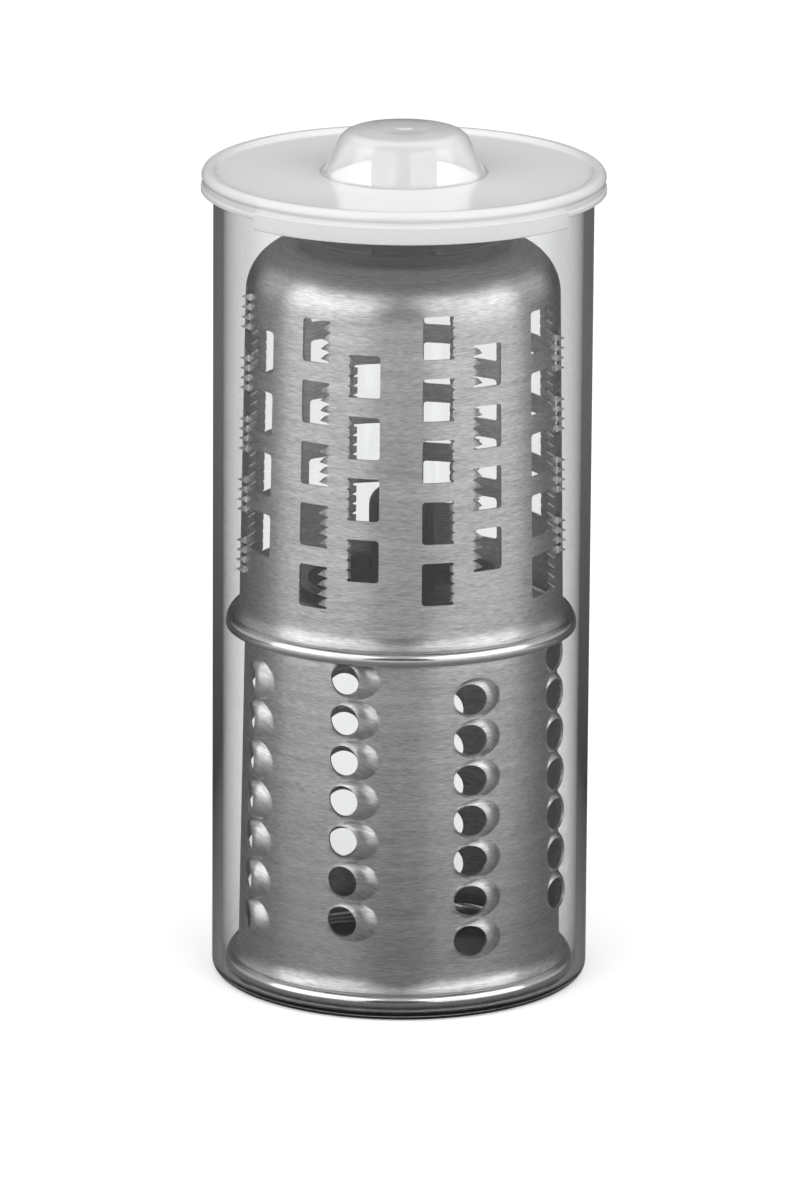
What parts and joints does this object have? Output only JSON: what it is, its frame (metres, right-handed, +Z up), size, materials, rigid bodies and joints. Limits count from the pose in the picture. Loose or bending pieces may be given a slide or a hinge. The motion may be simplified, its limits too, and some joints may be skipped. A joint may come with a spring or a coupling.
{
  "type": "rotary grater drum set",
  "caption": "Round clear storage canister with a push-fit domed lid, holding stacked stainless rotary grater drums with dark drive hubs.",
  "frame": {"origin": "centre of the canister's base, on the surface it stands on", "axes": "+Z up along the canister and both drums; -Y is the front, where the lid's grip is"},
  "size_m": [0.1044, 0.1052, 0.2254],
  "materials": {
    "clear_plastic": "clear glossy moulded plastic",
    "milky_plastic": "translucent milky moulded plastic, glossy",
    "stainless": "brushed round the drum, polished on the bead",
    "dark_plastic": "dark glossy moulded plastic"
  },
  "bodies": {
    "canister": {"canister": "clear_plastic"},
    "lower_drum": {"lower_drum_shell": "stainless", "lower_drive_hub": "dark_plastic", "lower_hub_ring": "dark_plastic"},
    "upper_drum": {"upper_drum_shell": "stainless", "upper_drive_hub": "dark_plastic", "upper_hub_ring": "dark_plastic"},
    "lid": {"lid": "milky_plastic"}
  },
  "joints": [
    {"name": "lower_drum_lift", "type": "slide", "parent": "canister", "child": "lower_drum", "axis": [0, 0, 1], "range_m": [0, 0.215]},
    {"name": "upper_drum_lift", "type": "slide", "parent": "lower_drum", "child": "upper_drum", "axis": [0, 0, 1], "range_m": [0, 0.125]},
    {"name": "lid_lift", "type": "slide", "parent": "upper_drum", "child": "lid", "axis": [0, 0, 1], "range_m": [0, 0.06]}
  ]
}
